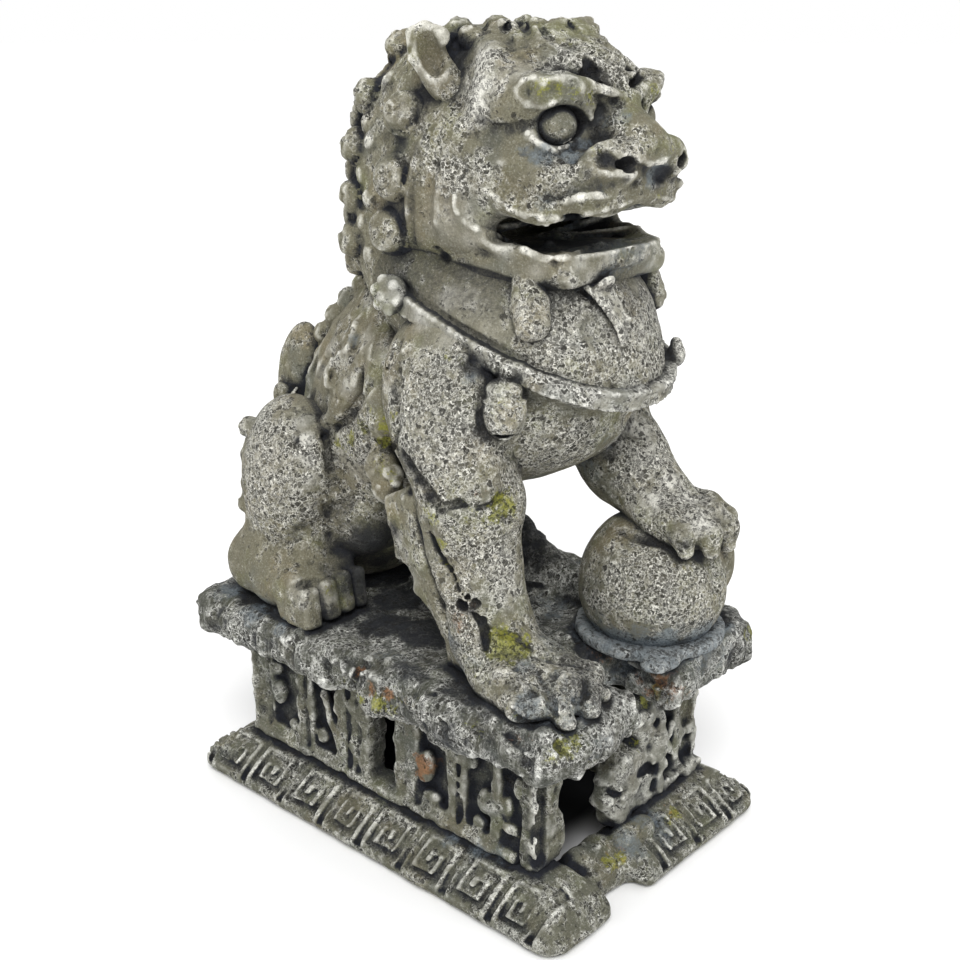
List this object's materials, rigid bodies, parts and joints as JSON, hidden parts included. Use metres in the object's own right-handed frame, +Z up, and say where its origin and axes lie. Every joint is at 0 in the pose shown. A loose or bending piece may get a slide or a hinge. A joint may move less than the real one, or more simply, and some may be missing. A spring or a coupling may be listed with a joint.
{
  "type": "guardian lion ornament",
  "caption": "Seated guardian lion with an open mouth, curled mane, collar and bells, one paw on a ball, on a hollow pierced plinth; free-standing stone-look ornament.",
  "frame": {"origin": "centre of the plinth's underside, on the surface it stands on", "axes": "+Z up, the lion faces -Y, +X is the lion's left side with the ball"},
  "size_m": [0.068, 0.1, 0.1532],
  "materials": {
    "plinth_resin": "cast resin, crazed pale wash over dark grey, moss and rust stains",
    "slab_resin": "cast resin, dark blue-grey wash, pitted",
    "lion_resin": "cast resin, grey-tan dry brush with dark crazing",
    "hair_resin": "cast resin, grey-tan dry brush with dark grooves",
    "trim_resin": "cast resin, pale dry brush"
  },
  "bodies": {
    "root": {"base_course": "plinth_resin", "wall_right": "plinth_resin", "wall_left": "plinth_resin", "wall_rear": "plinth_resin", "pier_front_right": "plinth_resin", "pier_front_left": "plinth_resin", "top_slab": "slab_resin", "ball_dish": "slab_resin", "ball": "lion_resin", "torso": "lion_resin", "right_foreleg": "lion_resin", "left_foreleg": "lion_resin", "neck_bib": "lion_resin", "mane": "hair_resin", "head": "lion_resin", "lower_jaw": "lion_resin", "collar": "trim_resin", "beard_tuft": "hair_resin", "tail": "hair_resin", "right_leg_fringe": "hair_resin", "right_hind_leg": "lion_resin", "left_hind_leg": "lion_resin", "right_back_locks": "hair_resin", "left_back_locks": "hair_resin", "right_ear": "lion_resin", "left_ear": "lion_resin", "right_eye": "lion_resin", "left_eye": "lion_resin", "right_rosette": "trim_resin", "left_rosette": "trim_resin", "right_bell": "trim_resin", "left_bell": "trim_resin", "right_beard_curl": "hair_resin", "left_beard_curl": "hair_resin"}
  },
  "joints": []
}
